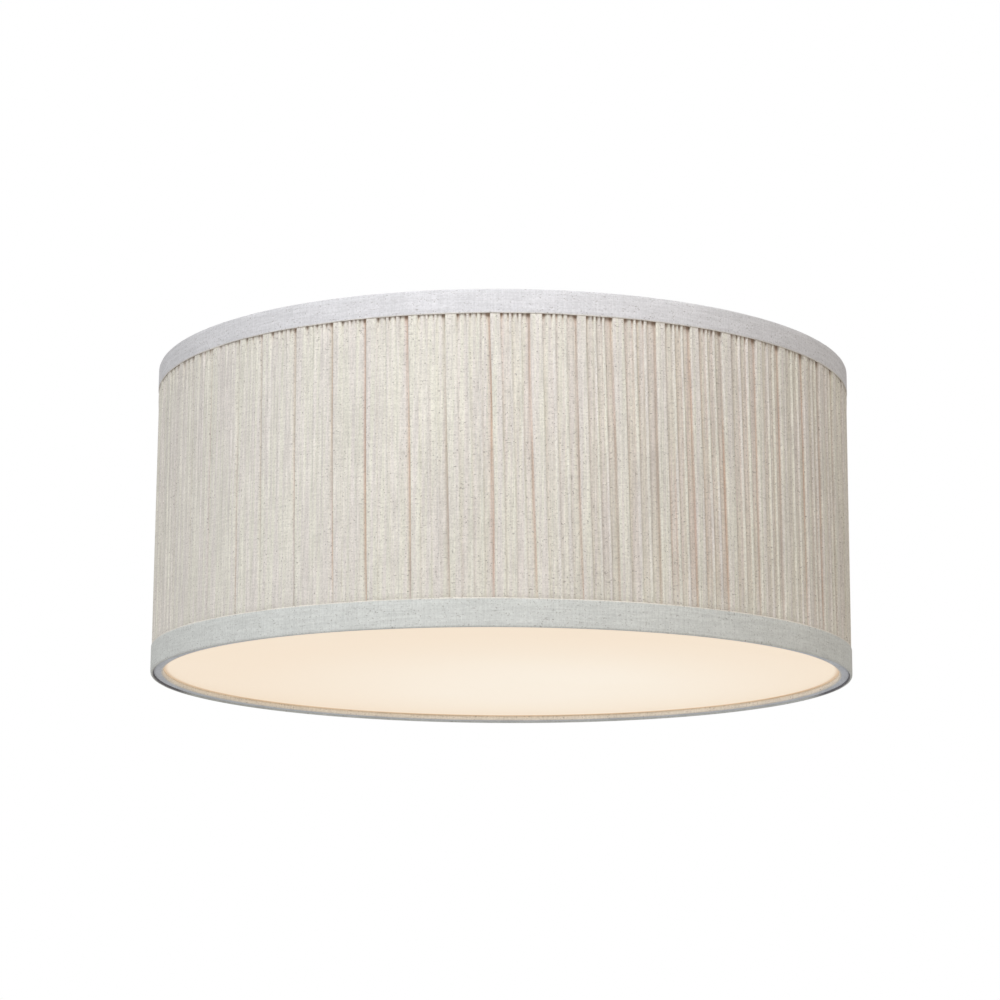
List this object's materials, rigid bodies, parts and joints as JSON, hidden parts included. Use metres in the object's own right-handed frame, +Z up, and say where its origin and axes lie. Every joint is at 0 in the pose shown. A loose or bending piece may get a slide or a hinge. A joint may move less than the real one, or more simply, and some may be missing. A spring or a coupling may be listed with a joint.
{
  "type": "flush mount ceiling light",
  "caption": "Drum-shaped flush ceiling light: pleated cloth shade with plain bands, frosted disc below, screw lamps inside, open-topped metal pan above.",
  "frame": {"origin": "middle of the mounting strap's ceiling face, on the light's vertical axis, in the plane of the ceiling", "axes": "+Z up into the ceiling, so the light hangs at negative Z; +X to the right as the picture shows it; -Y towards the camera"},
  "size_m": [0.4064, 0.4064, 0.1828],
  "materials": {
    "white_steel": "white enamel, satin",
    "zinc_steel": "bright zinc plate",
    "black_plastic": "moulded, matt",
    "glass_fibre": "loose yellow fibre mat",
    "green_screw": "green plated",
    "socket_body": "glazed, off-white",
    "brass_sheet": "bright, spun",
    "black_wire": "insulated wire, black",
    "white_wire": "insulated wire, white",
    "green_wire": "insulated wire, green",
    "connector_plastic": "moulded, orange",
    "lamp_tip_metal": "soldered button in dark glass",
    "lamp_cap_metal": "rolled thread",
    "lamp_body": "white, satin",
    "lamp_frost": "opal, lit warm",
    "trim_cloth": "cool grey-white linen tape",
    "pleat_cloth": "gathered oatmeal linen",
    "liner_sheet": "translucent styrene sheet",
    "frosted_acrylic": "frosted, lit warm from inside"
  },
  "bodies": {
    "canopy": {"mounting_strap": "zinc_steel", "ground_screw": "green_screw", "ceiling_pan": "white_steel", "pan_screws": "zinc_steel", "wire_bushing": "black_plastic", "insulation_pad": "glass_fibre", "shade_studs": "zinc_steel", "bracket_rivets": "zinc_steel", "ground_rivet": "zinc_steel", "ground_lead": "green_wire", "socket_screws": "zinc_steel", "live_leads": "black_wire", "neutral_leads": "white_wire", "live_connector": "connector_plastic", "neutral_connector": "connector_plastic", "socket_bracket_1": "zinc_steel", "socket_1": "socket_body", "screw_shell_1": "brass_sheet", "centre_contact_1": "brass_sheet", "socket_bracket_2": "zinc_steel", "socket_2": "socket_body", "screw_shell_2": "brass_sheet", "centre_contact_2": "brass_sheet", "socket_bracket_3": "zinc_steel", "socket_3": "socket_body", "screw_shell_3": "brass_sheet", "centre_contact_3": "brass_sheet"},
    "shade": {"spider_arm_1": "white_steel", "spider_arm_2": "white_steel", "spider_arm_3": "white_steel", "shade_top_ring": "white_steel", "fitter_ring": "white_steel", "shade_bottom_ring": "white_steel", "shade_liner": "liner_sheet", "top_trim": "trim_cloth", "bottom_trim": "trim_cloth", "pleated_cover": "pleat_cloth"},
    "diffuser": {"diffuser_panel": "frosted_acrylic"},
    "lamp_1_feed": {"lamp_tip_1": "lamp_tip_metal"},
    "lamp_1": {"lamp_cap_1": "lamp_cap_metal", "lamp_collar_1": "lamp_body", "lamp_globe_1": "lamp_frost"},
    "lamp_2_feed": {"lamp_tip_2": "lamp_tip_metal"},
    "lamp_2": {"lamp_cap_2": "lamp_cap_metal", "lamp_collar_2": "lamp_body", "lamp_globe_2": "lamp_frost"},
    "lamp_3_feed": {"lamp_tip_3": "lamp_tip_metal"},
    "lamp_3": {"lamp_cap_3": "lamp_cap_metal", "lamp_collar_3": "lamp_body", "lamp_globe_3": "lamp_frost"}
  },
  "joints": [
    {"name": "shade_twist", "type": "hinge", "parent": "canopy", "child": "shade", "pos_m": [0, 0, 0], "axis": [0, 0, 1], "range_deg": [0, 15]},
    {"name": "diffuser_lift", "type": "slide", "parent": "shade", "child": "diffuser", "axis": [0, 0, 1], "range_m": [0, 0.05]},
    {"name": "lamp_1_feed", "type": "slide", "parent": "canopy", "child": "lamp_1_feed", "axis": [0, 1, 0], "range_m": [0, 0.022]},
    {"name": "lamp_1_turn", "type": "hinge", "parent": "lamp_1_feed", "child": "lamp_1", "pos_m": [0, 0, -0.072], "axis": [0, 1, 0], "range_deg": [0, 2160]},
    {"name": "lamp_2_feed", "type": "slide", "parent": "canopy", "child": "lamp_2_feed", "axis": [-0.866, -0.5, 0], "range_m": [0, 0.022]},
    {"name": "lamp_2_turn", "type": "hinge", "parent": "lamp_2_feed", "child": "lamp_2", "pos_m": [0, 0, -0.072], "axis": [-0.866, -0.5, 0], "range_deg": [0, 2160]},
    {"name": "lamp_3_feed", "type": "slide", "parent": "canopy", "child": "lamp_3_feed", "axis": [0.866, -0.5, 0], "range_m": [0, 0.022]},
    {"name": "lamp_3_turn", "type": "hinge", "parent": "lamp_3_feed", "child": "lamp_3", "pos_m": [0, 0, -0.072], "axis": [0.866, -0.5, 0], "range_deg": [0, 2160]}
  ],
  "couplings": [
    {"joint": "lamp_1_feed", "follows": "lamp_1_turn", "m_per_rad": 0.00057757},
    {"joint": "lamp_2_feed", "follows": "lamp_2_turn", "m_per_rad": 0.00057757},
    {"joint": "lamp_3_feed", "follows": "lamp_3_turn", "m_per_rad": 0.00057757}
  ]
}
